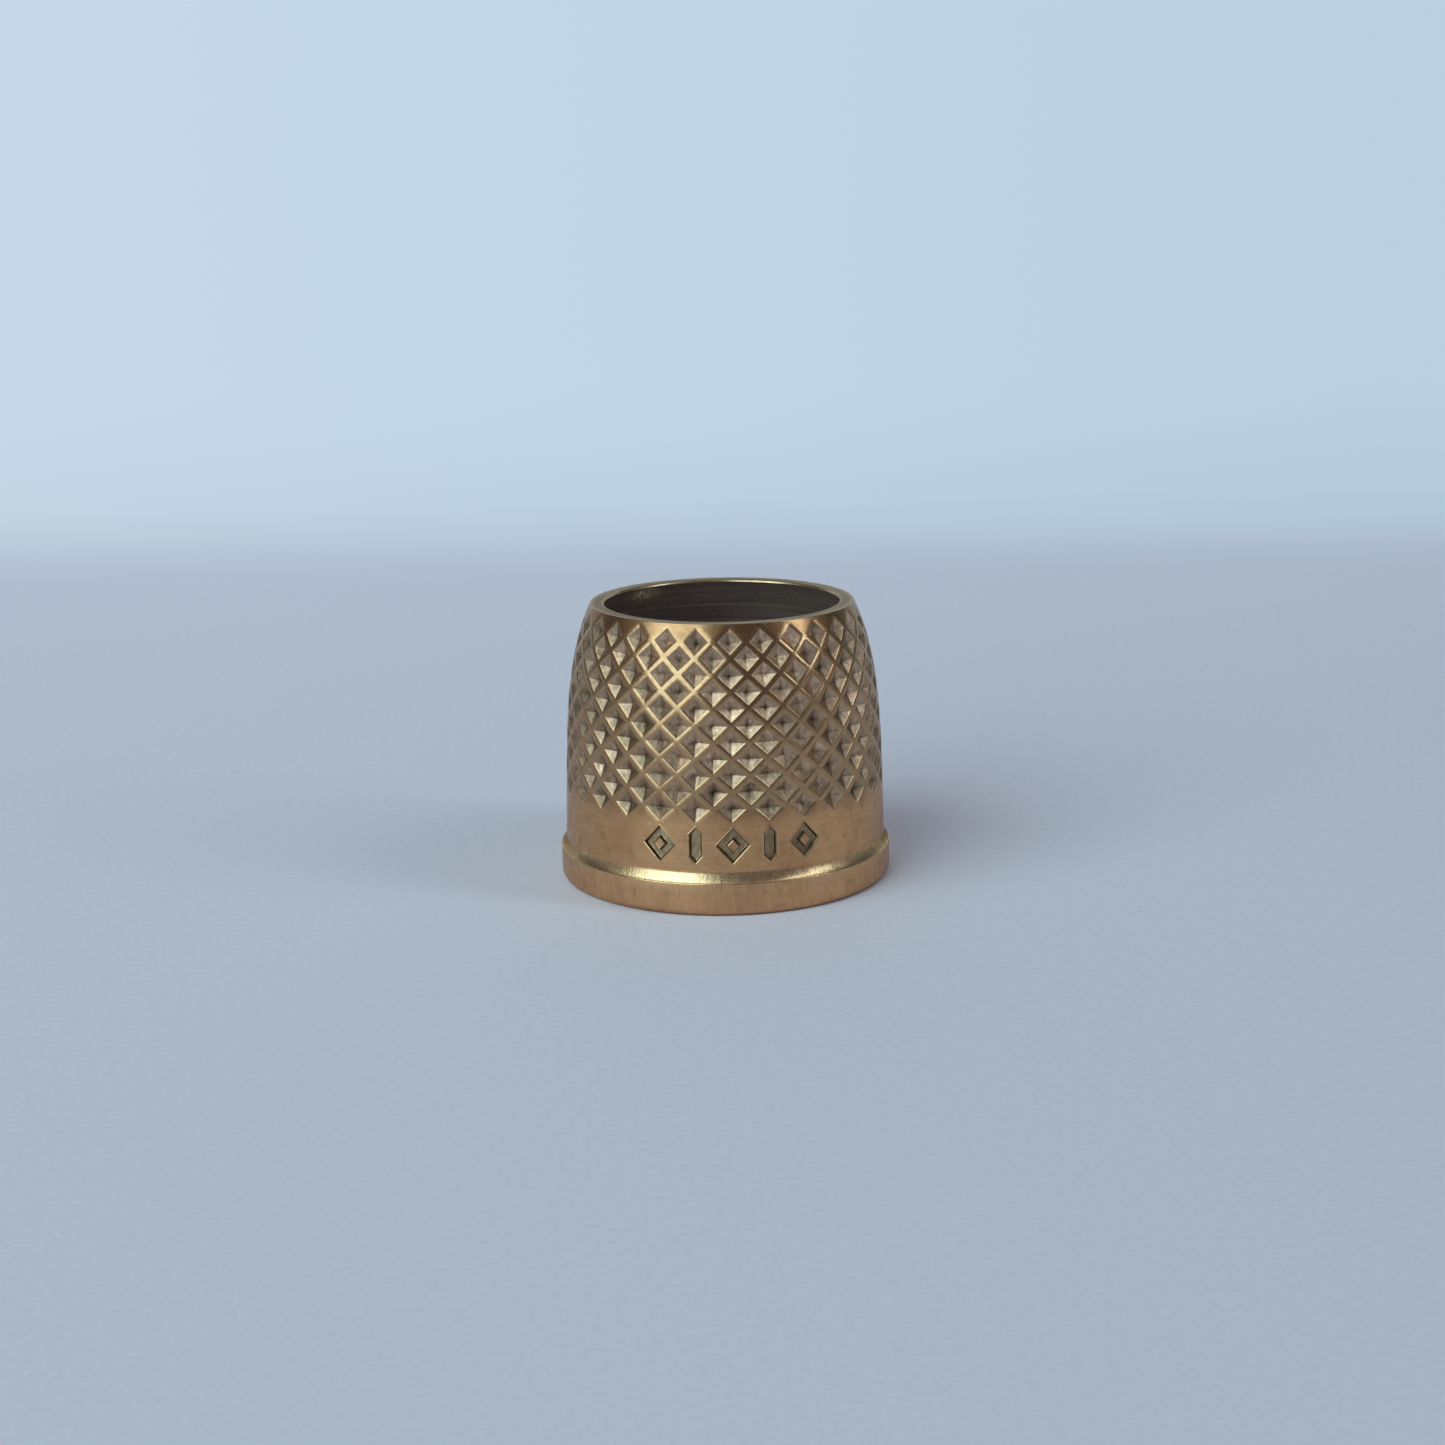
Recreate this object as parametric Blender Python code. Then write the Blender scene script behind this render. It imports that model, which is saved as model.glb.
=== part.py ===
"""An open-topped tailor's thimble, made as the real one is: a single turned and stamped brass ring.

A taper with a curved upper half carries staggered rows of pyramid-shaped dimples. Below them runs a plain
band with a stamped row of lozenges and bars, then a hollow-curved shoulder and a thicker rim. The bore goes
right through. The base rests on Z = 0, the axis is +Z, and the stamping faces -Y.
"""

import math

import bmesh
import bpy
from mathutils import Vector

# Driving dimensions, in metres.
HEIGHT = 0.01705
RIM_DIAMETER = 0.0205
RIM_FACE_TOP = 0.0020
SHOULDER_TOP = 0.0026
BODY_DIAMETER = 0.01984
TOP_DIAMETER = 0.01614
WALL = 0.00087

# The body narrows slowly along its whole length and quickly near the top.
STEADY_TAPER = 0.00037
CURVE_POWER = 4.3

# Small edges.
RIM_EDGE_RADIUS = 0.0004
BORE_FOOT_RADIUS = 0.0002
TOP_BORE_CHAMFER = 0.00012
ARC_STEPS = 4

# Dimples: rows climb by equal steps along the curved wall, and every other row is turned by half a pitch.
COLUMNS = 28
ROWS = 11
KNURL_BOTTOM = 0.00540
KNURL_TOP = 0.01695
DIMPLE_SHARE = 0.745
DIMPLE_DEPTH = 0.00036

# Stamped frieze on the plain band.
FRIEZE_CENTRE_Z = 0.00422
FRIEZE_HALF_HEIGHT = 0.00108
LOZENGE_HALF_WIDTH = 0.00098
LOZENGE_STROKE = 0.67
BAR_HALF_WIDTH = 0.00039
STAMP_DEPTH = 0.00025
STAMP_REACH = 0.0010
MOTIFS = ("lozenge", "bar", "lozenge", "bar", "lozenge")

BRASS_COLOUR = (0.40, 0.28, 0.17, 1.0)
SHARP_ANGLE = math.radians(20)

RIM_RADIUS = RIM_DIAMETER / 2
BODY_RADIUS = BODY_DIAMETER / 2
TOP_RADIUS = TOP_DIAMETER / 2
SECTORS = 2 * COLUMNS
HALF_PITCH = 2 * math.pi / SECTORS
FRONT = -math.pi / 2


def clear_scene():
    """Remove every object that the file opened with."""
    for item in list(bpy.data.objects):
        bpy.data.objects.remove(item, do_unlink=True)


def body_radius(z):
    """Outer radius of the wall, before the dimples are pressed in."""
    share = max(0.0, (z - SHOULDER_TOP) / (HEIGHT - SHOULDER_TOP))
    curve = BODY_RADIUS - STEADY_TAPER - TOP_RADIUS
    return BODY_RADIUS - STEADY_TAPER * share - curve * share**CURVE_POWER


def bore_radius(z):
    """Inner radius: the bore follows the outside, one wall thickness in."""
    return body_radius(z) - WALL


def on_wall(radius, half_steps, z):
    """A point at a radius and height, counted in half pitches round from the front."""
    angle = FRONT + half_steps * HALF_PITCH
    return Vector((radius * math.cos(angle), radius * math.sin(angle), z))


def equal_steps_up_wall(low, high, count):
    """Heights that cut the curved wall between low and high into equal lengths."""
    fine = [low + (high - low) * i / 400 for i in range(401)]
    run = [0.0]
    for below, above in zip(fine, fine[1:]):
        run.append(run[-1] + math.hypot(above - below, body_radius(above) - body_radius(below)))
    heights = []
    step = 0
    for i in range(count + 1):
        wanted = run[-1] * i / count
        while step < len(run) - 2 and run[step + 1] < wanted:
            step += 1
        share = (wanted - run[step]) / (run[step + 1] - run[step])
        heights.append(fine[step] + share * (fine[step + 1] - fine[step]))
    return heights


def plain_ring(bm, radius, z):
    """A full ring of vertices, one at every half pitch."""
    return [bm.verts.new(on_wall(radius, h, z)) for h in range(SECTORS)]


def join_rings(bm, lower, upper):
    """Faces between two rings, facing out where upper lies above lower on the outside."""
    faces = []
    for h in range(SECTORS):
        nxt = (h + 1) % SECTORS
        faces.append(bm.faces.new((lower[h], lower[nxt], upper[nxt], upper[h])))
    return faces


def rim_profile():
    """Outer side of the rim and shoulder, from the flat base up to the body."""
    points = []
    edge = RIM_EDGE_RADIUS
    for i in range(ARC_STEPS + 1):
        angle = math.pi / 2 * i / ARC_STEPS
        points.append((RIM_RADIUS - edge + edge * math.sin(angle), edge - edge * math.cos(angle)))
    width = RIM_RADIUS - BODY_RADIUS
    rise = SHOULDER_TOP - RIM_FACE_TOP
    for i in range(ARC_STEPS + 1):
        angle = math.pi / 2 * i / ARC_STEPS
        points.append((RIM_RADIUS - width * math.sin(angle), SHOULDER_TOP - rise * math.cos(angle)))
    return points


def bore_profile():
    """Inner side, from the top face down to the flat base."""
    points = [(bore_radius(HEIGHT) + TOP_BORE_CHAMFER, HEIGHT)]
    steps = 8
    high = HEIGHT - TOP_BORE_CHAMFER
    for i in range(steps + 1):
        z = high + (BORE_FOOT_RADIUS - high) * i / steps
        points.append((bore_radius(z), z))
    foot = BORE_FOOT_RADIUS
    low = bore_radius(0)
    for i in range(1, ARC_STEPS + 1):
        angle = math.pi / 2 * i / ARC_STEPS
        points.append((low + foot - foot * math.cos(angle), foot - foot * math.sin(angle)))
    return points


def dimple_lattice(bm):
    """Diamond faces in staggered rows, and the zigzag edges that bound them below and above."""
    heights = equal_steps_up_wall(KNURL_BOTTOM, KNURL_TOP, ROWS + 1)
    rings = []
    for i, z in enumerate(heights):
        first = i % 2
        rings.append({h: bm.verts.new(on_wall(body_radius(z), h, z)) for h in range(first, SECTORS, 2)})
    rows = []
    for k in range(1, ROWS + 1):
        row = []
        for h in range((k + 1) % 2, SECTORS, 2):
            left = rings[k][(h - 1) % SECTORS]
            right = rings[k][(h + 1) % SECTORS]
            row.append(bm.faces.new((rings[k - 1][h], right, rings[k + 1][h], left)))
        rows.append(row)
    lower = [rings[h % 2][h] for h in range(SECTORS)]
    upper = [rings[ROWS + 1 - h % 2][h] for h in range(SECTORS)]
    return rows, lower, upper


def press_dimples(bm, rows):
    """Leave a ridge round each diamond, then press its middle in as a four-sided pyramid."""
    for row in rows:
        bm.normal_update()
        corners = [v.co.copy() for v in row[0].verts]
        wide = (corners[1] - corners[3]).length / 2
        tall = (corners[0] - corners[2]).length / 2
        inner_radius = wide * tall / math.hypot(wide, tall)
        ridge = (1 - DIMPLE_SHARE) * inner_radius
        bmesh.ops.inset_individual(bm, faces=row, thickness=ridge, use_even_offset=True)
        bm.normal_update()
        bmesh.ops.poke(bm, faces=row, offset=-DIMPLE_DEPTH, center_mode="MEAN")


def thimble_mesh():
    """The whole ring as one closed mesh."""
    bm = bmesh.new()
    rows, lower, upper = dimple_lattice(bm)
    outside = [plain_ring(bm, r, z) for r, z in rim_profile()]
    outside.append(lower)
    for below, above in zip(outside, outside[1:]):
        join_rings(bm, below, above)
    top_edge = plain_ring(bm, TOP_RADIUS, HEIGHT)
    join_rings(bm, upper, top_edge)
    inside = [top_edge] + [plain_ring(bm, r, z) for r, z in bore_profile()]
    inside.append(outside[0])
    for above, below in zip(inside, inside[1:]):
        join_rings(bm, above, below)
    press_dimples(bm, rows)
    mesh = bpy.data.meshes.new("thimble_body")
    bm.to_mesh(mesh)
    bm.free()
    return mesh


def lozenge(scale):
    """The four corners of a lozenge, across and up."""
    wide = LOZENGE_HALF_WIDTH * scale
    tall = FRIEZE_HALF_HEIGHT * scale
    return [(0, -tall), (wide, 0), (0, tall), (-wide, 0)]


def bar():
    """The corners of an upright bar with a pointed head and foot."""
    wide = BAR_HALF_WIDTH
    tall = FRIEZE_HALF_HEIGHT
    neck = tall - wide
    return [(0, -tall), (wide, -neck), (wide, neck), (0, tall), (-wide, neck), (-wide, -neck)]


def stamp_loop(bm, outline, half_steps, radius):
    """An outline stood on a plane across the radius at its place on the band."""
    out = on_wall(1.0, half_steps, 0.0)
    across = Vector((-out.y, out.x, 0.0))
    centre = out * radius + Vector((0, 0, FRIEZE_CENTRE_Z))
    return [bm.verts.new(centre + across * u + Vector((0, 0, v))) for u, v in outline]


def band_between(bm, near, far):
    """Faces between two loops with the same number of corners."""
    for i in range(len(near)):
        j = (i + 1) % len(near)
        bm.faces.new((near[i], near[j], far[j], far[i]))


def stamp_cutter():
    """One mesh of five separate stamps that the band is cut with."""
    bm = bmesh.new()
    floor = body_radius(FRIEZE_CENTRE_Z) - STAMP_DEPTH
    middle = len(MOTIFS) // 2
    for place, motif in enumerate(MOTIFS):
        half_steps = 2 * (place - middle)
        outline = lozenge(1.0) if motif == "lozenge" else bar()
        deep = stamp_loop(bm, outline, half_steps, floor)
        proud = stamp_loop(bm, outline, half_steps, floor + STAMP_REACH)
        band_between(bm, deep, proud)
        if motif == "bar":
            bm.faces.new(deep)
            bm.faces.new(proud)
            continue
        island = lozenge(1.0 - LOZENGE_STROKE)
        deep_island = stamp_loop(bm, island, half_steps, floor)
        proud_island = stamp_loop(bm, island, half_steps, floor + STAMP_REACH)
        band_between(bm, deep_island, proud_island)
        band_between(bm, deep, deep_island)
        band_between(bm, proud, proud_island)
    bmesh.ops.recalc_face_normals(bm, faces=bm.faces)
    mesh = bpy.data.meshes.new("frieze_stamp")
    bm.to_mesh(mesh)
    bm.free()
    stamp = bpy.data.objects.new("frieze_stamp", mesh)
    bpy.context.scene.collection.objects.link(stamp)
    stamp.hide_render = True
    stamp.display_type = "WIRE"
    return stamp


def brass():
    """Worn, satin brass."""
    material = bpy.data.materials.new("brass")
    material.use_nodes = True
    shader = material.node_tree.nodes["Principled BSDF"]
    shader.inputs["Base Color"].default_value = BRASS_COLOUR
    shader.inputs["Metallic"].default_value = 1.0
    shader.inputs["Roughness"].default_value = 0.38
    return material


def build():
    """Make the thimble."""
    clear_scene()
    mesh = thimble_mesh()
    mesh.materials.append(brass())
    mesh.shade_smooth()
    mesh.set_sharp_from_angle(angle=SHARP_ANGLE)
    body = bpy.data.objects.new("thimble_body", mesh)
    bpy.context.scene.collection.objects.link(body)
    cut = body.modifiers.new("frieze", "BOOLEAN")
    cut.operation = "DIFFERENCE"
    cut.solver = "EXACT"
    cut.object = stamp_cutter()


build()
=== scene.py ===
import math

import bpy
import numpy as np
from mathutils import Matrix, Vector


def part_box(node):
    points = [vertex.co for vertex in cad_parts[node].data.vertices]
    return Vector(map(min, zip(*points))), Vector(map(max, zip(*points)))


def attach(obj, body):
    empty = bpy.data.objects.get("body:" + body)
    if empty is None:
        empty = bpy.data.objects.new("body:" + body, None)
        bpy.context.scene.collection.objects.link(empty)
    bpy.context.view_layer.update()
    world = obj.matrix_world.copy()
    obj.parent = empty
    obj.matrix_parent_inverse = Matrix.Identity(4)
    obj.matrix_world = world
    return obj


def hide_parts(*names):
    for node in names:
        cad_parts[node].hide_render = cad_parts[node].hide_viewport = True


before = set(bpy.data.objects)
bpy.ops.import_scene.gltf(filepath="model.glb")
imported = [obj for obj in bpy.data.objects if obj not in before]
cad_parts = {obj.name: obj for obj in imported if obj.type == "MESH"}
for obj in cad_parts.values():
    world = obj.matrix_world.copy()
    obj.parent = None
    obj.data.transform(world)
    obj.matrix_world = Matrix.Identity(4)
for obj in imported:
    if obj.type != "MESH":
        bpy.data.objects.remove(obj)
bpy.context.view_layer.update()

boxLow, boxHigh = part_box("thimble_body")
rimRadius = (boxHigh[0] - boxLow[0]) / 2
height = boxHigh[2]
print("frame loaded, rim radius", round(rimRadius, 5), "height", round(height, 5))


# sizes of the thimble, in metres
wall = {
    "bodyRadius": 0.00992,  # just above the shoulder
    "topRadius": 0.00807,
    "shoulderTop": 0.0026,
    "rimTop": 0.0020,
    "steadyTaper": 0.00037,  # drawn in evenly from shoulder to top
    "curvePower": 4.3,  # the rest is drawn in by this power of the height
    "thickness": 0.00087,
    "rimEdge": 0.0004,  # rounding under the rim
    "rimRings": (0.0009, 0.0014),  # heights of the rings on the rim's straight side
    "rimLip": 0.00006,  # small rounding where the rim meets the shoulder
    "shoulderBend": 0.45,  # 0 is a straight slope, 1 a quarter-round hollow
    "topEdge": 0.00006,
    "faceRings": (0.0004, 0.00004),  # how far the top face's rings lie outside the bevel
    "boreBevel": 0.00015,
    "mouthDepth": 0.0014,  # rings are closer together near the mouth
    "footEdge": 0.0002,
    "footInset": 0.00003,  # from the flat foot's last ring to the rounding under the rim
    "unevenness": 0.000006,  # height of the broadest wave round a ring
}

knurl = {
    "columns": 28,
    "rows": 11,
    "low": 0.00540,  # heights of the dimpled zone's edges
    "high": 0.01698,
    "depth": 0.00036,
    "levels": (0.70, 0.745, 0.79),  # pit edge, middle of lip, start of ridge, as shares of half a cell
    "lipDrops": (0.000033, 0.000013, 0.0),  # how far below the skin each level lies
    "lipWear": (0.35, 1.0, 0.5),  # how far each level is rubbed
    "depthSpread": 0.07,  # how much the dimples differ in depth and place, as shares
    "placeSpread": 0.022,
    "apexSpread": 0.045,
    "seed": 11,
}

frieze = {
    "motifs": ("lozenge", "bar", "lozenge", "bar", "lozenge"),
    "middleZ": 0.00422,
    "gridStep": 0.00006,  # height of one grid step
    "reach": 18,  # grid steps from a motif's middle to its tip
    "island": 6,  # grid steps from a lozenge's middle to the edge of its raised island
    "barHalf": 7,  # grid steps from a bar's middle to its side
    "depth": 0.00024,
    "columnsPerPitch": 40,
    "plainPerPitch": 12,  # columns to a pitch where nothing is stamped
}

plainColumns = 336  # points in a ring that has neither dimples nor stamps
halfSteps = 2 * knurl["columns"]
halfPitch = 2 * math.pi / halfSteps


def wallRadius(z):
    # body radius less a steady taper, less a curve that grows with a high power of the height
    share = np.clip((z - wall["shoulderTop"]) / (height - wall["shoulderTop"]), 0, None)
    curve = wall["bodyRadius"] - wall["steadyTaper"] - wall["topRadius"]
    return wall["bodyRadius"] - wall["steadyTaper"] * share - curve * share ** wall["curvePower"]


def wallLean(z):
    # angle of the outward normal above the horizon, from the slope of the radius
    step = 0.00001
    return np.arctan(-(wallRadius(z + step) - wallRadius(z - step)) / (2 * step))


def boreRadius(z):
    # outer radius less the thickness, measured level
    return wallRadius(z) - wall["thickness"]


fineZ = np.linspace(knurl["low"], knurl["high"], 4000)
fineLength = np.concatenate([[0], np.cumsum(np.hypot(np.diff(fineZ), np.diff(wallRadius(fineZ))))])
rowStep = fineLength[-1] / (knurl["rows"] + 1)


def roundAndUp(radius, h, z):
    # point at a radius, h half pitches round from the front, at height z
    angle = -math.pi / 2 + h * halfPitch
    radius, angle, z = np.broadcast_arrays(radius, angle, z)
    return np.stack([radius * np.cos(angle), radius * np.sin(angle), z], -1)


def handMade(points):
    # slow waves round and up the wall, added to the radius, so that no ring is perfectly true
    angle = np.arctan2(points[..., 1], points[..., 0])
    z = points[..., 2] * 1000
    wave = np.sin(2 * angle + 0.4) + 0.6 * np.sin(3 * angle - 0.5 * z)
    wave += 0.5 * np.sin(7 * angle + 0.9 * z + 1.0) + 0.4 * np.sin(11 * angle - 1.3 * z)
    scale = 1 + wall["unevenness"] * wave / np.hypot(points[..., 0], points[..., 1])
    return points * np.stack([scale, scale, np.ones_like(scale)], -1)


# the thimble is one closed mesh, filled zone by zone
finishes = ("skinBrass", "pitBrass", "stampBrass", "shoulderBrass", "rimBrass", "faceBrass", "boreBrass")
finishNumber = {name: number for number, name in enumerate(finishes)}
meshPoints, meshFaces, meshFinish = [], [], []
meshMasks = {"hollow": [], "tone": [], "wear": []}  # how deep (on the rim and foot, how much darker), a shade for each dimple, and where fingers rub (in the mouth partly a painted highlight)


def addPoints(points, **masks):
    # keeps the points and their masks, and gives back their numbers in the mesh
    start = sum(len(p) for p in meshPoints)
    shape = points.shape[:-1]
    meshPoints.append(points.reshape(-1, 3))
    for name, values in meshMasks.items():
        values.append(np.broadcast_to(masks.get(name, 0.0), shape).reshape(-1))
    return np.arange(start, start + len(meshPoints[-1])).reshape(shape)


def addFaces(faces, finish):
    # one finish for all the faces by name, or a number for each face
    meshFaces.extend(faces.tolist())
    number = finishNumber[finish] if isinstance(finish, str) else finish
    meshFinish.append(np.broadcast_to(number, len(faces)))


def quadsBetween(lower, upper):
    # four-cornered faces between rings of equal count, closed round
    return np.stack([lower, np.roll(lower, -1, -1), np.roll(upper, -1, -1), upper], -1).reshape(-1, 4)


def stitch(lower, lowerH, upper, upperH, finish):
    # triangles between two rings of unequal count: each edge goes to the nearest point of the other ring
    lowerOrder = np.argsort(lowerH % halfSteps)
    upperOrder = np.argsort(upperH % halfSteps)
    low, lowH = lower[lowerOrder], (lowerH % halfSteps)[lowerOrder]
    up, upH = upper[upperOrder], (upperH % halfSteps)[upperOrder]
    lowMiddles = (lowH + np.append(lowH[1:], lowH[0] + halfSteps)) / 2
    upMiddles = (upH + np.append(upH[1:], upH[0] + halfSteps)) / 2
    nearest = np.searchsorted(lowMiddles, upMiddles)
    turns = np.searchsorted(nearest, np.arange(1, len(low) + 1))
    fromUpper = np.stack([np.roll(up, -1), up, low[nearest % len(low)]], -1)
    fromLower = np.stack([low, np.roll(low, -1), up[turns % len(up)]], -1)
    addFaces(np.concatenate([fromUpper, fromLower]), finish)


def dimpledWall():
    # A sheared grid whose lines run along the ridges. Line n of either family lies at cell + offset, so
    # that h = a + b and row = a - b, with a dimple at each whole (a, b). Depth falls from each dimple's
    # middle with the larger of the two distances.
    levels = knurl["levels"]
    offsets = np.array([0, *[0.5 * v for v in levels], *[1 - 0.5 * v for v in levels[::-1]]])
    perCell = len(offsets)
    rows = knurl["rows"]

    def line(n):
        return n // perCell + offsets[n % perCell]

    steps = np.arange(-perCell, rows * perCell + 1)[:, None]
    j = np.arange(knurl["columns"] * perCell)[None, :]
    a, b = line(j + steps), line(j) + 0.0 * steps
    cellA, cellB = np.round(a), np.round(b)
    far = 2 * np.maximum(np.abs(a - cellA), np.abs(b - cellB))
    cellRow = (cellA - cellB).astype(int)
    cellH = (cellA + cellB).astype(int) % halfSteps
    pressed = (cellRow >= 0) & (cellRow < rows)

    chance = np.random.default_rng(knurl["seed"])
    spread = chance.uniform(-1, 1, (6, rows + 4, halfSteps))
    own = spread[:, np.clip(cellRow + 1, 0, rows + 3), cellH]
    depth = np.interp(far, [0, *levels], [knurl["depth"], *knurl["lipDrops"]])
    depth = depth * np.where(far < levels[0] * 0.99, 1 + knurl["depthSpread"] * own[0], 1) * pressed
    inner = np.clip((1 - far) / (1 - levels[-1]), 0, 1) * pressed
    apex = (far < 0.01) * pressed
    h = a + b + inner * knurl["placeSpread"] * own[1] + apex * knurl["apexSpread"] * own[3]
    row = a - b + inner * knurl["placeSpread"] * own[2] + apex * knurl["apexSpread"] * own[4]

    z = np.interp((row + 1) * rowStep, fineLength, fineZ)
    lean = wallLean(z)
    points = roundAndUp(wallRadius(z) - depth * np.cos(lean), h, z - depth * np.sin(lean))
    points = handMade(points)
    tone = np.where(far < levels[0] * 1.01, 0.5 + 0.5 * own[5], 0.5)
    wear = np.interp(far, [0, *levels], [0, *knurl["lipWear"]]) * pressed
    index = addPoints(points, hollow=depth / knurl["depth"], tone=tone, wear=wear)

    # Each grid cell has a corner to the west, south, east and north. Cells that a crease of a pyramid
    # crosses are halved along it, the first and last rows keep only the half inside the zone, and the rest
    # stay whole.
    west, east = index, np.roll(index, -1, 1)
    north, south = np.roll(index, -1, 0), np.roll(east, 1, 0)
    upright = (2 * j + steps + 1) % perCell == 0
    first, last = np.zeros_like(upright), np.zeros_like(upright)
    first[0], last[-1] = True, True
    upright &= ~first & ~last
    whole = ~upright & ~first & ~last & (steps % perCell != 0)
    level = ~upright & ~whole
    for corners, chosen in (
        ((west, south, east, north), whole),
        ((west, east, north), level & ~last),
        ((west, south, east), level & ~first),
        ((west, south, north), upright),
        ((east, north, south), upright),
    ):
        faces = np.stack(corners, -1)[chosen]
        local = faces - index[0, 0]
        inPit = (far.reshape(-1)[local] < levels[0] * 1.01).all(1) & pressed.reshape(-1)[local].all(1)
        addFaces(faces, np.where(inPit, finishNumber["pitBrass"], finishNumber["skinBrass"]))
    return index[0], (a + b)[0], index[-1], (a + b)[-1]


def stampedBand():
    # Plain rings, close together where the stamps are. A stamp's outline is a fixed sum of steps across and
    # up, so that it follows the diagonals of the grid, and its depth grows over the first three steps inside.
    count = len(frieze["motifs"])
    per = frieze["columnsPerPitch"]
    plainPer = frieze["plainPerPitch"]
    stampedColumns = np.arange(count * per)
    otherColumns = np.arange((knurl["columns"] - count) * plainPer)
    h = np.concatenate([-count + 2 * stampedColumns / per, count + 2 * otherColumns / plainPer])
    reach = frieze["reach"]
    up = np.arange(-reach - 1, reach + 2)
    z = frieze["middleZ"] + up * frieze["gridStep"]
    below = np.linspace(wall["shoulderTop"], z[0], 5)[:-1]
    z = np.concatenate([below, z])
    farOff = 99  # grid steps, for a ring or column that lies outside every stamp
    up = np.concatenate([np.full(len(below), -farOff), up])[:, None]

    column = np.arange(len(h))[None, :]
    across = np.where(column < len(stampedColumns), column % per - per // 2, farOff)
    motif = np.minimum(column // per, count - 1)
    stepsAway = np.abs(across) + np.abs(up)
    lozenge = np.minimum(reach - stepsAway, stepsAway - frieze["island"])
    bar = np.minimum(reach - stepsAway, frieze["barHalf"] - np.abs(across))
    isBar = np.array([m == "bar" for m in frieze["motifs"]])[motif]
    inside = np.where(isBar, bar, lozenge)
    share = np.interp(inside, [-2, -1, 0, 1, 2, 3], [0, -0.04, 0.03, 0.5, 0.93, 1])
    share = np.where(up == -farOff, 0, share)
    wear = np.interp(inside, [-2, -1, 0, 1], [0, 0.8, 0.5, 0]) * (up > -farOff)
    floorWave = 1 + 0.05 * np.sin(0.9 * across + 1.7 * motif) * np.sin(0.5 * up + motif)
    depth = frieze["depth"] * share * floorWave
    points = roundAndUp(wallRadius(z)[:, None] - depth, h[None, :], z[:, None])
    index = addPoints(handMade(points), hollow=np.clip(share, 0, 1), tone=0.5, wear=wear)

    lower, upper = index[:-1], index[1:]
    nextLower, nextUpper = np.roll(lower, -1, 1), np.roll(upper, -1, 1)
    # the cells near the stamps are halved along the diagonal that runs with the outline
    midAcross = np.where(across < farOff, across + 0.5, 0) * np.ones((len(z) - 1, 1))
    midUp = (up[:-1] + 0.5) * np.ones_like(midAcross)
    stamped = (midAcross != 0) & (midUp > -farOff + 1)
    falling = stamped & (midAcross * midUp > 0)
    rising = stamped & ~falling
    corner = np.stack([lower, nextLower, nextUpper, upper], -1)
    faces = [corner[falling][:, [0, 1, 3]], corner[falling][:, [1, 2, 3]]]
    faces += [corner[rising][:, [0, 1, 2]], corner[rising][:, [0, 2, 3]]]
    flat = np.clip(share, 0, 1).reshape(-1)
    for part in faces:
        sunk = flat[part - index[0, 0]].max(1) > 0.4
        addFaces(part, np.where(sunk, finishNumber["stampBrass"], finishNumber["skinBrass"]))
    addFaces(corner[~stamped], "skinBrass")
    return index[0], h, index[-1], h


def arc(centreR, centreZ, radius, start, end, steps):
    # points on a circle between two angles, measured from the outward horizontal
    angle = np.radians(np.linspace(start, end, steps + 1))
    return np.stack([centreR + radius * np.cos(angle), centreZ + radius * np.sin(angle)], -1)


def turned(profile, finish, wear=0.0, hollow=0.0):
    # rings swept round a profile of (radius, height) points
    h = np.arange(plainColumns) * halfSteps / plainColumns
    points = roundAndUp(profile[:, :1], h[None, :], profile[:, 1:])
    if np.ndim(wear):
        wear = np.reshape(wear, (len(profile), -1))
    if np.ndim(hollow):
        hollow = np.reshape(hollow, (len(profile), -1))
    index = addPoints(handMade(points), tone=0.5, wear=wear, hollow=hollow)
    addFaces(quadsBetween(index[:-1], index[1:]), finish)
    return index, h


def joinZones(lower, upper, finish):
    # one row of faces from the last ring of a zone to the first of the next
    addFaces(quadsBetween(lower[None], upper[None]), finish)


# profiles, in order round the section: rim, shoulder, (band, knurl), top face, bore, foot
edge = wall["rimEdge"]
lip = wall["rimLip"]
rimSide = np.concatenate([
    arc(rimRadius - edge, edge, edge, -90, 0, 8),
    [[rimRadius, z] for z in wall["rimRings"]],
])
rimLip = arc(rimRadius - lip, wall["rimTop"] - lip, lip, 0, 80, 4)
rimProfile = np.concatenate([rimSide, rimLip])
# the shoulder lies between a straight slope and a quarter-round hollow
shoulderStart = rimProfile[-1]
shoulderRun = np.array([wall["bodyRadius"] - shoulderStart[0], wall["shoulderTop"] - shoulderStart[1]])
along = np.linspace(0.05, 0.93, 12)[:, None]
hollowCurve = np.concatenate([np.sin(along * math.pi / 2), 1 - np.cos(along * math.pi / 2)], 1)
shoulderShape = along + (hollowCurve - along) * wall["shoulderBend"]
shoulderProfile = shoulderStart + shoulderRun * shoulderShape
# the top edge is rounded from the wall's lean, just below it, to level
topEdge = wall["topEdge"]
leanAtTop = float(np.degrees(wallLean(height - 0.0001)))
topArcR = float(wallRadius(height - topEdge * 0.65)) - topEdge * math.cos(math.radians(leanAtTop))
topArc = arc(topArcR, height - topEdge, topEdge, leanAtTop, 90, 5)
bevel = wall["boreBevel"]
bevelR = float(boreRadius(height)) + bevel
faceProfile = np.array([[bevelR + out, height] for out in wall["faceRings"]])
bevelProfile = arc(bevelR, height - bevel, bevel, 92, 178, 5)
foot = wall["footEdge"]
boreTop = height - bevel * 1.3
mouthEnd = boreTop - wall["mouthDepth"]
boreZ = np.concatenate([np.linspace(boreTop, mouthEnd, 9)[:-1], np.linspace(mouthEnd, foot, 12)])
boreProfile = np.stack([boreRadius(boreZ), boreZ], -1)
footProfile = np.concatenate([
    arc(float(boreRadius(0.0)) + foot, foot, foot, 190, 270, 5),
    [[rimRadius - edge - wall["footInset"], 0.0]],
])

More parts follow.
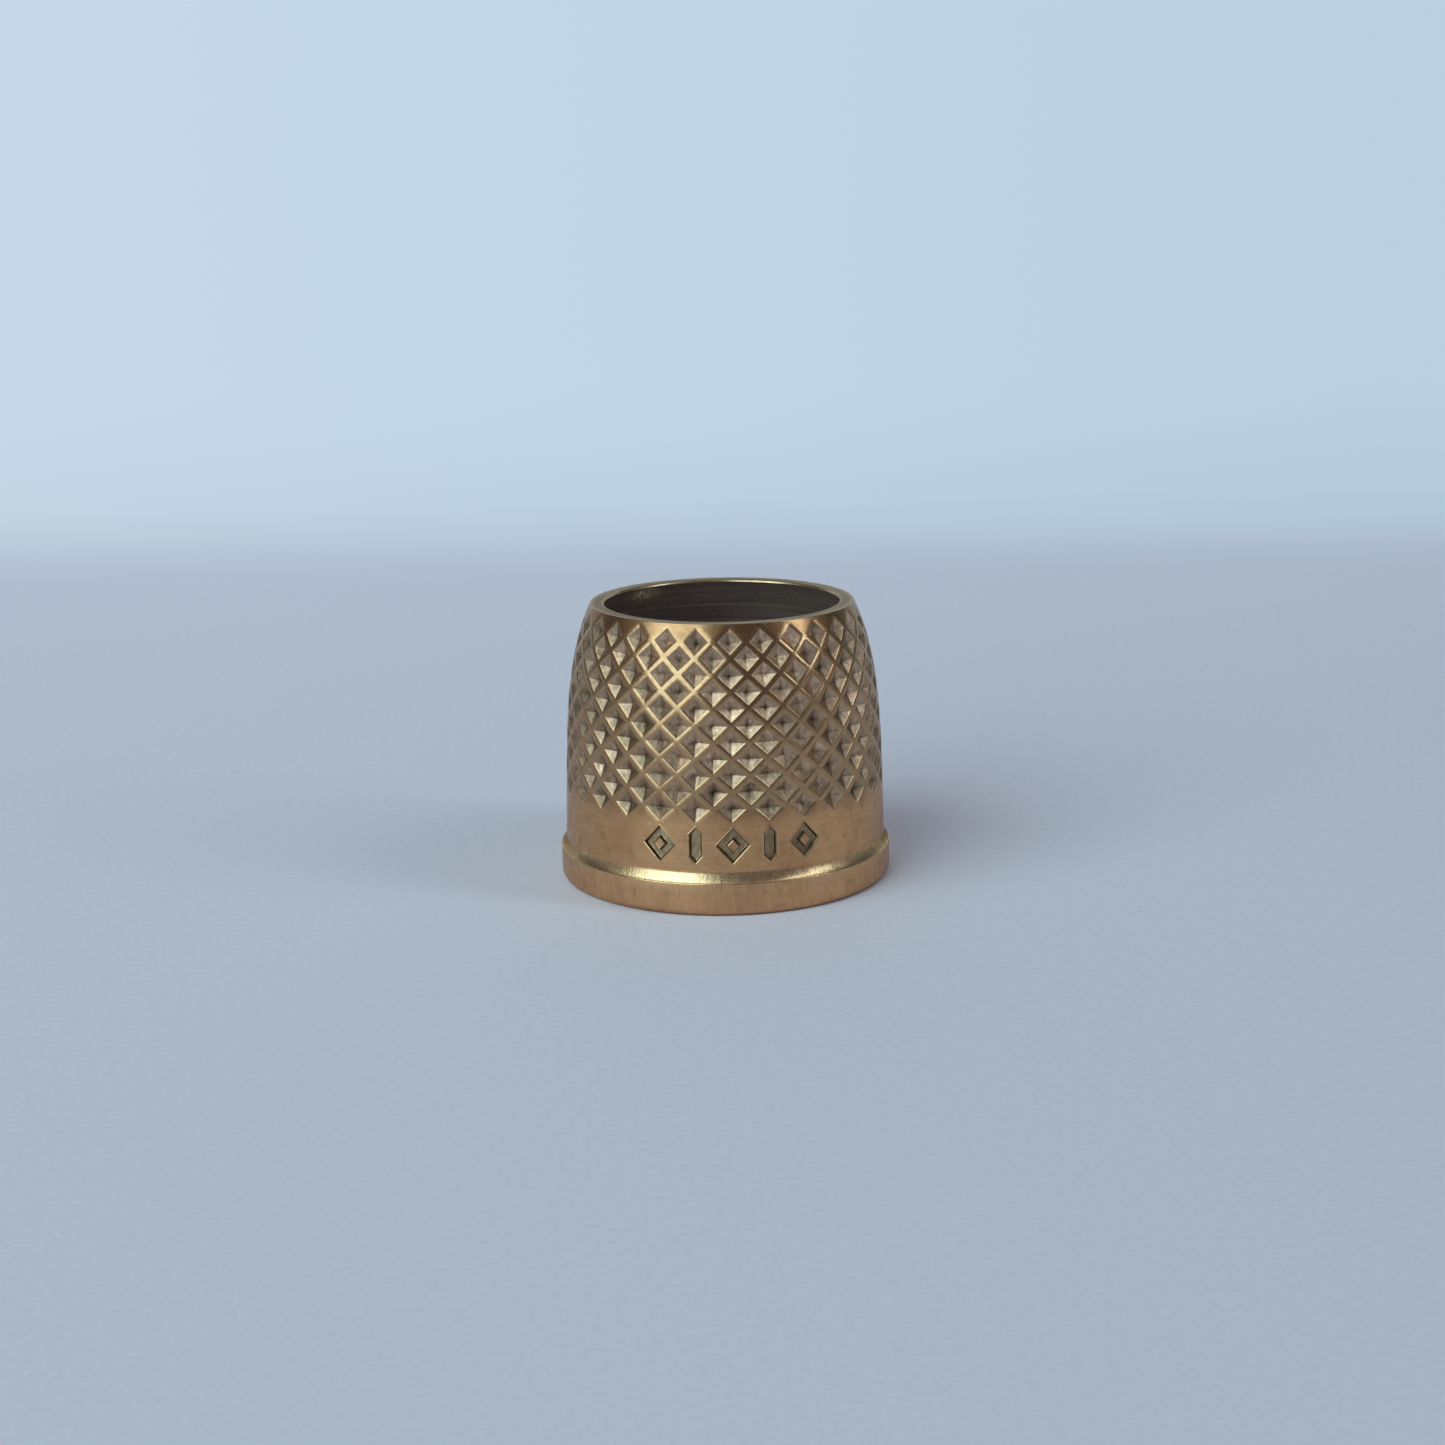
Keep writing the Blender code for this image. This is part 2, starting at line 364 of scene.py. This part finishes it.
rimWear = np.concatenate([np.zeros(len(rimSide)), np.linspace(0.2, 1, len(rimLip))])
rimDarkerHeight = 0.0005  # the rim is darker low down, fading out by this height
rimDarkerLow = np.clip(1 - rimProfile[:, 1] / rimDarkerHeight, 0, 1)
rimIndex, plainH = turned(rimProfile, "rimBrass", rimWear, rimDarkerLow)
shoulderIndex, _ = turned(shoulderProfile, "shoulderBrass")
joinZones(rimIndex[-1], shoulderIndex[0], "shoulderBrass")
bandLow, bandLowH, bandHigh, bandHighH = stampedBand()
stitch(shoulderIndex[-1], plainH, bandLow, bandLowH, "skinBrass")
knurlLow, knurlLowH, knurlHigh, knurlHighH = dimpledWall()
stitch(bandHigh, bandHighH, knurlLow, knurlLowH, "skinBrass")
topIndex, _ = turned(topArc, "skinBrass", np.linspace(0.3, 1, len(topArc)))
stitch(knurlHigh, knurlHighH, topIndex[0], plainH, "skinBrass")
faceIndex, _ = turned(faceProfile, "faceBrass")
joinZones(topIndex[-1], faceIndex[0], "faceBrass")
bevelIndex, _ = turned(bevelProfile, "faceBrass", 0.7)
joinZones(faceIndex[-1], bevelIndex[0], "faceBrass")
# a scratched place inside the mouth, back left, light in colour as partly a painted highlight, that fades
# with the distance round and down from its middle, in degrees and metres
mouthScratchAndHighlight = {"turn": 129, "turnSpread": 8, "down": 0.00065, "downSpread": 0.00045}
degreesRound = plainH * 360 / halfSteps - 90
roundShare = (degreesRound - mouthScratchAndHighlight["turn"]) / mouthScratchAndHighlight["turnSpread"]
downShare = (height - boreZ - mouthScratchAndHighlight["down"]) / mouthScratchAndHighlight["downSpread"]
mouthWearAndHighlight = np.exp(-roundShare[None, :] ** 2 - downShare[:, None] ** 2)
boreIndex, _ = turned(boreProfile, "boreBrass", mouthWearAndHighlight)
joinZones(bevelIndex[-1], boreIndex[0], "boreBrass")
footIndex, _ = turned(footProfile, "rimBrass", hollow=1.0)
joinZones(boreIndex[-1], footIndex[0], "boreBrass")
joinZones(footIndex[-1], rimIndex[0], "rimBrass")

thimbleMesh = bpy.data.meshes.new("thimble")
thimbleMesh.from_pydata(np.concatenate(meshPoints).tolist(), [], meshFaces)
thimbleMesh.polygons.foreach_set("material_index", np.concatenate(meshFinish).astype(np.int32))
for name, values in meshMasks.items():
    layer = thimbleMesh.attributes.new(name, "FLOAT", "POINT")
    layer.data.foreach_set("value", np.concatenate(values).astype(np.float32))
thimbleMesh.update()
thimbleMesh.shade_smooth()
sharpAngle = 27  # degrees, past which an edge stays crisp
thimbleMesh.set_sharp_from_angle(angle=math.radians(sharpAngle))
thimble = bpy.data.objects.new("thimble", thimbleMesh)
bpy.context.scene.collection.objects.link(thimble)
flatFacets = thimble.modifiers.new("flatFacets", "WEIGHTED_NORMAL")  # keeps facets and ridge tops flat
flatFacets.keep_sharp = True
flatFacets.weight = 80
print("thimble mesh", len(thimbleMesh.vertices), "points", len(thimbleMesh.polygons), "faces")


def addNode(tree, kind, **values):
    # a value is set on the input of that name, or else on the node itself
    node = tree.nodes.new(kind)
    for key, value in values.items():
        if key in node.inputs:
            node.inputs[key].default_value = value
        else:
            setattr(node, key, value)
    return node


def feed(tree, socket, value):
    # a plain value is set on the socket, anything else is a link
    if isinstance(value, (int, float)):
        socket.default_value = value
    elif isinstance(value, tuple):
        socket.default_value = (*value, 1.0) if socket.type == "RGBA" and len(value) == 3 else value
    else:
        tree.links.new(value, socket)


def mathNode(tree, operation, first, second=0.0, clamp=False):
    node = addNode(tree, "ShaderNodeMath", operation=operation, use_clamp=clamp)
    feed(tree, node.inputs[0], first)
    feed(tree, node.inputs[1], second)
    return node.outputs[0]


def weighted(tree, *pairs):
    # sum of each value times its share
    total = None
    for value, share in pairs:
        part = mathNode(tree, "MULTIPLY", value, share)
        total = part if total is None else mathNode(tree, "ADD", total, part)
    return total


def rangeNode(tree, value, fromLow, fromHigh, toLow=0.0, toHigh=1.0, smooth=False):
    node = addNode(tree, "ShaderNodeMapRange")
    if smooth:
        node.interpolation_type = "SMOOTHSTEP"
    ends = {"From Min": fromLow, "From Max": fromHigh, "To Min": toLow, "To Max": toHigh}
    for name, amount in ends.items():
        feed(tree, node.inputs[name], amount)
    tree.links.new(value, node.inputs["Value"])
    return node.outputs["Result"]


def mixColour(tree, share, first, second):
    node = addNode(tree, "ShaderNodeMix", data_type="RGBA")
    feed(tree, node.inputs[0], share)
    feed(tree, node.inputs[6], first)
    feed(tree, node.inputs[7], second)
    return node.outputs[2]


def vectorNode(tree, operation, first, second=None, output=0):
    node = addNode(tree, "ShaderNodeVectorMath", operation=operation)
    feed(tree, node.inputs[0], first)
    if second is not None:
        feed(tree, node.inputs["Scale" if operation == "SCALE" else 1], second)
    return node.outputs[output]


def noise(tree, vector, scale, detail=3.0, roughness=0.55, distortion=0.0):
    node = addNode(tree, "ShaderNodeTexNoise", Scale=scale, Detail=detail, Roughness=roughness)
    node.inputs["Distortion"].default_value = distortion
    tree.links.new(vector, node.inputs["Vector"])
    return node.outputs["Fac"]


def newGroup(name, inputs, outputs):
    group = bpy.data.node_groups.new(name, "ShaderNodeTree")
    for label, kind, value in inputs:
        socket = group.interface.new_socket(label, in_out="INPUT", socket_type=kind)
        if value is not None:
            socket.default_value = value
    for label in outputs:
        group.interface.new_socket(label, in_out="OUTPUT", socket_type="NodeSocketFloat")
    return group, group.nodes.new("NodeGroupInput").outputs, group.nodes.new("NodeGroupOutput").inputs


def useGroup(tree, group, links, **values):
    node = addNode(tree, "ShaderNodeGroup", node_tree=group)
    for key, value in values.items():
        node.inputs[key].default_value = value
    for key, socket in links.items():
        tree.links.new(socket, node.inputs[key])
    return node.outputs


# Effects shared by the finishes. Each works on object coordinates in millimetres.
def makeTarnish():
    # Patches are broad and middling noise added together, stain is the tops of the middling noise, and
    # grain is fine noise.
    group, given, out = newGroup(
        "tarnishFilm",
        [("Millimetres", "NodeSocketVector", None), ("Amount", "NodeSocketFloat", 0.5)],
        ["Patches", "Stain", "Grain"],
    )
    where = given["Millimetres"]
    broad = noise(group, where, 0.22, 2.0, 0.5, 0.3)
    middle = noise(group, where, 1.3, 4.0, 0.62, 0.4)
    both = weighted(group, (broad, 0.5), (middle, 0.5))
    lifted = mathNode(group, "ADD", both, mathNode(group, "MULTIPLY", given["Amount"], 0.1))
    group.links.new(rangeNode(group, lifted, 0.42, 0.68), out["Patches"])
    stained = mathNode(group, "ADD", middle, mathNode(group, "MULTIPLY", given["Amount"], 0.12))
    group.links.new(rangeNode(group, stained, 0.64, 0.80), out["Stain"])
    group.links.new(noise(group, where, 13.0, 2.0, 0.6), out["Grain"])
    return group


def makePinPits():
    # Specks: the distance to scattered points on a wobbled grid, against a size that differs from point
    # to point.
    group, given, out = newGroup(
        "pinPits",
        [("Millimetres", "NodeSocketVector", None), ("Density", "NodeSocketFloat", 0.5)],
        ["Mask", "Height"],
    )
    wobble = addNode(group, "ShaderNodeTexNoise", Scale=6.0, Detail=2.0)
    group.links.new(given["Millimetres"], wobble.inputs["Vector"])
    shift = vectorNode(group, "SCALE", wobble.outputs["Color"], 0.22)
    moved = vectorNode(group, "ADD", given["Millimetres"], shift)
    masks = []
    for scale, largest in ((1.3, 0.17), (3.4, 0.2)):
        cell = addNode(group, "ShaderNodeTexVoronoi", Scale=scale, Randomness=1.0)
        group.links.new(moved, cell.inputs["Vector"])
        chance = addNode(group, "ShaderNodeSeparateColor")
        group.links.new(cell.outputs["Color"], chance.inputs[0])
        size = mathNode(group, "MULTIPLY", chance.outputs[0], largest)
        dot = mathNode(group, "SUBTRACT", size, cell.outputs["Distance"])
        chosen = mathNode(group, "LESS_THAN", chance.outputs[1], given["Density"])
        masks.append(mathNode(group, "MULTIPLY", rangeNode(group, dot, 0.0, 0.07, smooth=True), chosen))
    mask = mathNode(group, "MAXIMUM", masks[0], masks[1])
    group.links.new(mask, out["Mask"])
    group.links.new(mathNode(group, "SUBTRACT", 1.0, mask), out["Height"])
    return group


def makeToolMarks():
    # Noise stretched by a different amount along each axis: long round the thimble for turning lines, long
    # up it for brushing.
    group, given, out = newGroup(
        "toolMarks",
        [("Millimetres", "NodeSocketVector", None), ("Stretch", "NodeSocketVector", (0.1, 0.1, 8.0))],
        ["Height"],
    )
    stretched = vectorNode(group, "MULTIPLY", given["Millimetres"], given["Stretch"])
    group.links.new(noise(group, stretched, 1.0, 5.0, 0.65), out["Height"])
    return group


def makeEdgeWear():
    # The rubbed edges, broken up by noise so that they are not even.
    group, given, out = newGroup(
        "edgeWear",
        [("Millimetres", "NodeSocketVector", None), ("Wear", "NodeSocketFloat", 0.0)],
        ["Mask"],
    )
    broken = rangeNode(group, noise(group, given["Millimetres"], 2.2, 3.0, 0.6), 0.3, 0.62, 0.35, 1.0)
    group.links.new(mathNode(group, "MULTIPLY", given["Wear"], broken, True), out["Mask"])
    return group


tarnishFilm = makeTarnish()
pinPits = makePinPits()
toolMarks = makeToolMarks()
edgeWear = makeEdgeWear()
print("shader groups made")

# How each finish looks. Colours are linear, lengths are in millimetres.
looks = {
    "skinBrass": dict(gold=(0.71, 0.40, 0.20), brown=(0.57, 0.305, 0.147), stain=(0.33, 0.175, 0.10),
                      rub=(0.66, 0.46, 0.27), edgeTint=(0.85, 0.83, 0.82), rough=(0.21, 0.34), tarnish=0.4,
                      specks=0.28, stretch=(0.5, 0.5, 4.0), lines=0.0014, grain=0.0009, waves=0.005,
                      dents=0.0026, scratches=0.004, streaks=(0.90, 1.08)),
    "pitBrass": dict(gold=(0.70, 0.465, 0.325), brown=(0.26, 0.177, 0.112), stain=(0.12, 0.08, 0.05),
                     rub=(0.68, 0.50, 0.32), edgeTint=(0.8, 0.75, 0.72), rough=(0.27, 0.46), tarnish=0.6,
                     specks=0.0, stretch=(4.5, 4.5, 2.6), lines=0.034, grain=0.006, waves=0.0,
                     dents=0.010, scratches=0.0, streaks=(0.50, 1.28)),
    "stampBrass": dict(gold=(0.47, 0.34, 0.20), brown=(0.33, 0.225, 0.13), stain=(0.12, 0.08, 0.05),
                       rub=(0.80, 0.55, 0.28), edgeTint=(0.9, 0.9, 0.9), rough=(0.34, 0.48), tarnish=0.7,
                       specks=0.15, stretch=(3.0, 3.0, 3.0), lines=0.006, grain=0.003, waves=0.0,
                       dents=0.006, scratches=0.0, streaks=(0.75, 1.15)),
    "shoulderBrass": dict(gold=(0.92, 0.64, 0.36), brown=(0.68, 0.45, 0.25), stain=(0.30, 0.19, 0.11),
                          rub=(0.90, 0.68, 0.36), edgeTint=(0.45, 0.37, 0.31), rough=(0.17, 0.32),
                          tarnish=0.5, specks=0.35, stretch=(6.0, 6.0, 1.6), lines=0.012, grain=0.003,
                          waves=0.004, dents=0.006, scratches=0.0, streaks=(0.72, 1.15)),
    "rimBrass": dict(gold=(0.73, 0.415, 0.21), brown=(0.58, 0.315, 0.16), stain=(0.38, 0.21, 0.12),
                     rub=(0.88, 0.66, 0.34), edgeTint=(0.85, 0.83, 0.82), rough=(0.23, 0.35), tarnish=0.35,
                     specks=0.35, stretch=(5.0, 5.0, 0.5), lines=0.0010, grain=0.0014, waves=0.003,
                     dents=0.0012, scratches=0.003, streaks=(0.88, 1.09)),
    "faceBrass": dict(gold=(0.43, 0.275, 0.17), brown=(0.36, 0.23, 0.14), stain=(0.26, 0.17, 0.11),
                      rub=(0.88, 0.72, 0.42), edgeTint=(0.68, 0.63, 0.55), rough=(0.24, 0.36), tarnish=0.3,
                      specks=0.1, stretch=(0.3, 0.3, 9.0), lines=0.0014, grain=0.0010, waves=0.0,
                      dents=0.002, scratches=0.0, streaks=(0.85, 1.10)),
    # the bore's rub colour is very light: the scratched place in the mouth is partly a painted highlight
    "boreBrass": dict(gold=(0.335, 0.242, 0.202), brown=(0.28, 0.20, 0.172), stain=(0.13, 0.10, 0.08),
                      rub=(1.0, 0.80, 0.50), edgeTint=(0.9, 0.9, 0.9), rough=(0.34, 0.44), tarnish=0.1,
                      specks=0.1, stretch=(0.08, 0.08, 8.0), lines=0.020, grain=0.001, waves=0.002,
                      dents=0.0, scratches=0.32, streaks=(0.62, 1.32)),
}
# dark brown for dirt, and for painted shade down in the dimples
dirtAndShadeColour = (0.06, 0.045, 0.03)
darkening = {"start": 5.2, "end": 6.6, "shade": 0.62}  # skin between dimples, heights in millimetres


def ringsFromAbove(tree, millimetres):
    # for a flat face: height is swapped for the distance from the axis, so that lines run round it
    flat = vectorNode(tree, "MULTIPLY", millimetres, (1.0, 1.0, 0.0))
    split = addNode(tree, "ShaderNodeSeparateXYZ")
    tree.links.new(flat, split.inputs[0])
    joined = addNode(tree, "ShaderNodeCombineXYZ")
    tree.links.new(split.outputs[0], joined.inputs[0])
    tree.links.new(split.outputs[1], joined.inputs[1])
    tree.links.new(vectorNode(tree, "LENGTH", flat, output="Value"), joined.inputs[2])
    return joined.outputs[0]


def makeBrass(name):
    # Patches of brown over gold, then stains, streaks of light and dark, rubbed edges (in the bore's
    # mouth partly a painted highlight), dirt (with painted shade in the dimples), darker places and specks.
    # Bump height is the sum of tool marks, grain, specks, waves, dents, and dents again where it is rubbed.
    look = looks[name]
    material = bpy.data.materials.new(name)
    material.use_nodes = True
    tree = material.node_tree
    shader = tree.nodes["Principled BSDF"]
    millimetres = vectorNode(tree, "SCALE", addNode(tree, "ShaderNodeTexCoord").outputs["Object"], 1000.0)
    masks = {}
    for mask in meshMasks:
        masks[mask] = addNode(tree, "ShaderNodeAttribute", attribute_name=mask).outputs["Fac"]
    film = useGroup(tree, tarnishFilm, {"Millimetres": millimetres}, Amount=look["tarnish"])
    specks = useGroup(tree, pinPits, {"Millimetres": millimetres}, Density=look["specks"])
    rubbed = useGroup(tree, edgeWear, {"Millimetres": millimetres, "Wear": masks["wear"]})["Mask"]
    where = ringsFromAbove(tree, millimetres) if name == "faceBrass" else millimetres
    marks = useGroup(tree, toolMarks, {"Millimetres": where}, Stretch=look["stretch"])

    colour = mixColour(tree, film["Patches"], look["gold"], look["brown"])
    colour = mixColour(tree, mathNode(tree, "MULTIPLY", film["Stain"], 0.6), colour, look["stain"])
    streaks = weighted(tree, (marks["Height"], 0.6), (film["Grain"], 0.4))
    shade = rangeNode(tree, streaks, 0.38, 0.62, *look["streaks"])
    if name == "pitBrass":  # a different shade in each dimple
        shade = mathNode(tree, "MULTIPLY", shade, rangeNode(tree, masks["tone"], 0.0, 1.0, 0.85, 1.12))
    if name == "skinBrass":  # the knurled part is darker than the plain band
        split = addNode(tree, "ShaderNodeSeparateXYZ")
        tree.links.new(millimetres, split.inputs[0])
        start, end = darkening["start"], darkening["end"]
        darker = rangeNode(tree, split.outputs[2], start, end, 1.0, darkening["shade"], smooth=True)
        shade = mathNode(tree, "MULTIPLY", shade, darker)
    colour = vectorNode(tree, "SCALE", colour, shade)
    colour = mixColour(tree, mathNode(tree, "MULTIPLY", rubbed, 0.75), colour, look["rub"])
    if name == "pitBrass":  # dirt and painted shade down in the point, more of it in some dimples
        deep = rangeNode(tree, masks["hollow"], 0.62, 1.0)
        mixed = weighted(tree, (film["Grain"], 0.5), (marks["Height"], 0.5))
        clumps = rangeNode(tree, mixed, 0.36, 0.60, 0.3, 1.0)
        uneven = rangeNode(tree, masks["tone"], 0.9, 0.1, 0.35, 1.3)
        dirtAndShade = mathNode(tree, "MULTIPLY", mathNode(tree, "MULTIPLY", deep, clumps), uneven, True)
        colour = mixColour(tree, dirtAndShade, colour, dirtAndShadeColour)
    if name == "rimBrass":  # darker towards the bottom edge, and on the foot
        colour = mixColour(tree, mathNode(tree, "MULTIPLY", masks["hollow"], 0.6), colour, look["stain"])
    if name == "stampBrass":  # darker on the sloping sides
        fromMiddle = mathNode(tree, "ABSOLUTE", mathNode(tree, "SUBTRACT", masks["hollow"], 0.62))
        steep = rangeNode(tree, fromMiddle, 0.32, 0.2)
        colour = mixColour(tree, mathNode(tree, "MULTIPLY", steep, 0.7), colour, dirtAndShadeColour)
    colour = mixColour(tree, mathNode(tree, "MULTIPLY", specks["Mask"], 0.55), colour, look["stain"])
    tree.links.new(colour, shader.inputs["Base Color"])

    low, high = look["rough"]
    patch = weighted(tree, (film["Patches"], 0.5), (film["Grain"], 0.5))
    roughness = rangeNode(tree, patch, 0.1, 0.8, low, high)
    roughness = mathNode(tree, "ADD", roughness, mathNode(tree, "MULTIPLY", specks["Mask"], 0.15))
    roughness = mathNode(tree, "SUBTRACT", roughness, mathNode(tree, "MULTIPLY", rubbed, 0.06), True)
    tree.links.new(roughness, shader.inputs["Roughness"])
    if name == "boreBrass":  # an old film scatters light evenly, and the scratched place more still, its light colour partly a painted highlight
        tree.links.new(rangeNode(tree, rubbed, 0.0, 1.0, 0.6, 0.15), shader.inputs["Metallic"])
    else:
        shader.inputs["Metallic"].default_value = 1.0
    shader.inputs["Specular Tint"].default_value = (*look["edgeTint"], 1.0)

    waves = noise(tree, millimetres, 0.9, 1.0, 0.5)
    fine = noise(tree, millimetres, 22.0, 2.0, 0.6)
    dents = noise(tree, millimetres, 4.5, 1.0, 0.5)
    relief = weighted(
        tree, (marks["Height"], look["lines"]), (fine, look["grain"]), (specks["Height"], 0.004),
        (waves, look["waves"]), (dents, look["dents"]),
        (mathNode(tree, "MULTIPLY", dents, rubbed), look["scratches"]),
    )
    bump = addNode(tree, "ShaderNodeBump", Strength=1.0, Distance=0.001)
    tree.links.new(relief, bump.inputs["Height"])
    tree.links.new(bump.outputs["Normal"], shader.inputs["Normal"])
    return material


for name in finishes:
    thimbleMesh.materials.append(makeBrass(name))
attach(thimble, "root")
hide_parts("thimble_body")
print("thimble finished")

room = {
    "walls": (0.22, 0.215, 0.215),
    "shade": (0.122, 0.118, 0.138),  # the dark side of the room, front right
    "shadeDirection": (0.40, -0.80, 0.45),
    "seen": (0.53, 0.64, 0.74),
}


def makeRoom():
    # pale walls, a soft dark patch round one direction, and an even colour where the camera looks past
    # the floor
    world = bpy.data.worlds.new("room")
    bpy.context.scene.world = world
    world.use_nodes = True
    tree = world.node_tree
    direction = addNode(tree, "ShaderNodeTexCoord").outputs["Generated"]
    towards = vectorNode(tree, "DOT_PRODUCT", direction, room["shadeDirection"], output="Value")
    lit = mixColour(tree, rangeNode(tree, towards, 0.70, 0.94, smooth=True), room["walls"], room["shade"])
    isCamera = addNode(tree, "ShaderNodeLightPath").outputs["Is Camera Ray"]
    tree.links.new(mixColour(tree, isCamera, lit, room["seen"]), tree.nodes["Background"].inputs["Color"])


makeRoom()
print("room made")

stageSizes = {
    "front": -1.2,
    "side": 1.2,
    "wall": 0.19,  # how far behind the thimble the floor turns up
    "turn": 0.02,
    "wallHeight": 0.7,
    "blend": (0.107, 0.157),  # where floor turns to wall, along a line turned a little from square
    "brighten": (0.150, 0.205),  # the foot of the wall is less bright, measured along the sheet
    "footGlow": 0.88,
    "blendTurn": 0.056,
    "fadeUp": (0.08, 0.17),  # the wall is bright low down, behind the thimble
    "fadeSideways": (0.13, 0.30),
    "floorColour": (0.825, 0.795, 0.885),
    "liftRun": (-0.07, 0.09),  # along this run the floor goes from a little darker to a little brighter
    "frontLift": 0.91,
    "farLift": 1.085,
    "away": (0.23, 0.42),  # far off the sheet is seen as the same pale colour as the room
    "wallLeft": (0.57, 0.69, 0.80),
    "wallRight": (0.49, 0.63, 0.74),
}


def makeStage():
    # A sheet in the floor plane that turns up into a wall: a straight run, a quarter circle and a straight
    # rise.
    size = stageSizes
    angle = np.linspace(0, math.pi / 2, 12)
    y = [size["front"], *(size["wall"] - size["turn"] + size["turn"] * np.sin(angle)), size["wall"]]
    z = [0, *(size["turn"] * (1 - np.cos(angle))), size["wallHeight"]]
    x = np.linspace(-size["side"], size["side"], 5)
    points = np.stack(np.broadcast_arrays(x[None, :], np.array(y)[:, None], np.array(z)[:, None]), -1)
    index = np.arange(points[..., 0].size).reshape(points.shape[:2])
    corners = (index[:-1, :-1], index[:-1, 1:], index[1:, 1:], index[1:, :-1])
    quads = np.stack(corners, -1).reshape(-1, 4)
    mesh = bpy.data.meshes.new("floor")
    mesh.from_pydata(points.reshape(-1, 3).tolist(), [], quads.tolist())
    mesh.shade_smooth()
    floor = bpy.data.objects.new("floor", mesh)
    bpy.context.scene.collection.objects.link(floor)

    material = bpy.data.materials.new("palePaper")
    material.use_nodes = True
    tree = material.node_tree
    shader = tree.nodes["Principled BSDF"]
    place = addNode(tree, "ShaderNodeTexCoord").outputs["Object"]
    split = addNode(tree, "ShaderNodeSeparateXYZ")
    tree.links.new(place, split.inputs[0])
    askew = mathNode(tree, "MULTIPLY", split.outputs[0], size["blendTurn"])
    turnedY = mathNode(tree, "ADD", split.outputs[1], askew)
    far = rangeNode(tree, turnedY, *size["blend"], smooth=True)
    speckle = rangeNode(tree, noise(tree, place, 2500.0, 2.0), 0.3, 0.7, 0.97, 1.03)
    lift = rangeNode(tree, split.outputs[1], *size["liftRun"], size["frontLift"], size["farLift"])
    paper = vectorNode(tree, "SCALE", size["floorColour"], mathNode(tree, "MULTIPLY", speckle, lift))
    isCamera = addNode(tree, "ShaderNodeLightPath").outputs["Is Camera Ray"]
    distant = rangeNode(tree, vectorNode(tree, "LENGTH", place, output="Value"), *size["away"], smooth=True)
    away = mathNode(tree, "MULTIPLY", distant, isCamera)
    lost = mathNode(tree, "MAXIMUM", far, away)  # where glow takes the place of lit paper
    tree.links.new(mixColour(tree, lost, paper, (0.0, 0.0, 0.0)), shader.inputs["Base Color"])
    glow = mixColour(tree, rangeNode(tree, split.outputs[0], -0.1, 0.1), size["wallLeft"], size["wallRight"])
    upward = rangeNode(tree, split.outputs[2], *size["fadeUp"], 1.0, 0.3, smooth=True)
    fromMiddle = mathNode(tree, "ABSOLUTE", split.outputs[0])
    sideways = rangeNode(tree, fromMiddle, *size["fadeSideways"], 1.0, 0.3, smooth=True)
    alongSheet = mathNode(tree, "ADD", split.outputs[1], split.outputs[2])
    footward = rangeNode(tree, alongSheet, *size["brighten"], size["footGlow"], 1.0, smooth=True)
    fading = mathNode(tree, "MULTIPLY", mathNode(tree, "MULTIPLY", upward, sideways), footward)
    glow = vectorNode(tree, "SCALE", glow, mathNode(tree, "MULTIPLY", far, fading))
    tree.links.new(mixColour(tree, away, glow, room["seen"]), shader.inputs["Emission Color"])
    shader.inputs["Emission Strength"].default_value = 1.0
    shader.inputs["Roughness"].default_value = 0.7
    shader.inputs["Specular IOR Level"].default_value = 0.1
    mesh.materials.append(material)


makeStage()
print("stage made")

# A tall window to the front left and a narrow one to the right. Glow is the brightness of a window's face.
viewAzimuth = -2.5
windows = {
    "leftWindow": dict(azimuth=-43, elevation=33.5, lean=14, wide=0.37, tall=0.55, glow=2.38,
                       colour=(0.70, 0.95, 1.0)),
    "rightWindow": dict(azimuth=70, elevation=35, lean=0, wide=0.09, tall=0.33, glow=3.6,
                        colour=(0.75, 0.92, 1.0)),
}
windowDistance = 0.45


def addWindow(name, azimuth, elevation, lean, wide, tall, glow, colour):
    # at an azimuth and elevation seen from the thimble, facing it, leant over about its own axis
    light = bpy.data.lights.new(name, "AREA")
    light.shape = "RECTANGLE"
    light.size, light.size_y = wide, tall
    light.energy = glow * math.pi * wide * tall
    light.color = colour
    lamp = bpy.data.objects.new(name, light)
    turn, rise = math.radians(azimuth + viewAzimuth), math.radians(elevation)
    away = Vector((math.sin(turn) * math.cos(rise), -math.cos(turn) * math.cos(rise), math.sin(rise)))
    lamp.location = away * windowDistance
    facing = away.to_track_quat("Z", "Y").to_matrix().to_4x4()
    lamp.rotation_euler = (facing @ Matrix.Rotation(math.radians(lean), 4, "Z")).to_euler()
    bpy.context.scene.collection.objects.link(lamp)


for name, values in windows.items():
    addWindow(name, **values)

bpy.context.scene.view_settings.view_transform = "Standard"

# angles are in degrees, the lens in millimetres
eye = {
    "aim": (-0.000075, 0.0, 0.0093),
    "elevation": 13.31,
    "distance": 0.1427,
    "roll": 0.9,
    "lens": 57.28,
}


def addCamera():
    # aimed at a point inside the thimble, and rolled a little
    turn, rise = math.radians(viewAzimuth), math.radians(eye["elevation"])
    back = Vector((math.sin(turn) * math.cos(rise), -math.cos(turn) * math.cos(rise), math.sin(rise)))
    data = bpy.data.cameras.new("camera")
    data.lens = eye["lens"]
    data.clip_start = 0.005
    camera = bpy.data.objects.new("camera", data)
    camera.location = Vector(eye["aim"]) + back * eye["distance"]
    aimed = back.to_track_quat("Z", "Y").to_matrix().to_4x4()
    camera.rotation_euler = (aimed @ Matrix.Rotation(math.radians(-eye["roll"]), 4, "Z")).to_euler()
    bpy.context.scene.collection.objects.link(camera)
    bpy.context.scene.camera = camera


addCamera()
print("lights and camera placed")
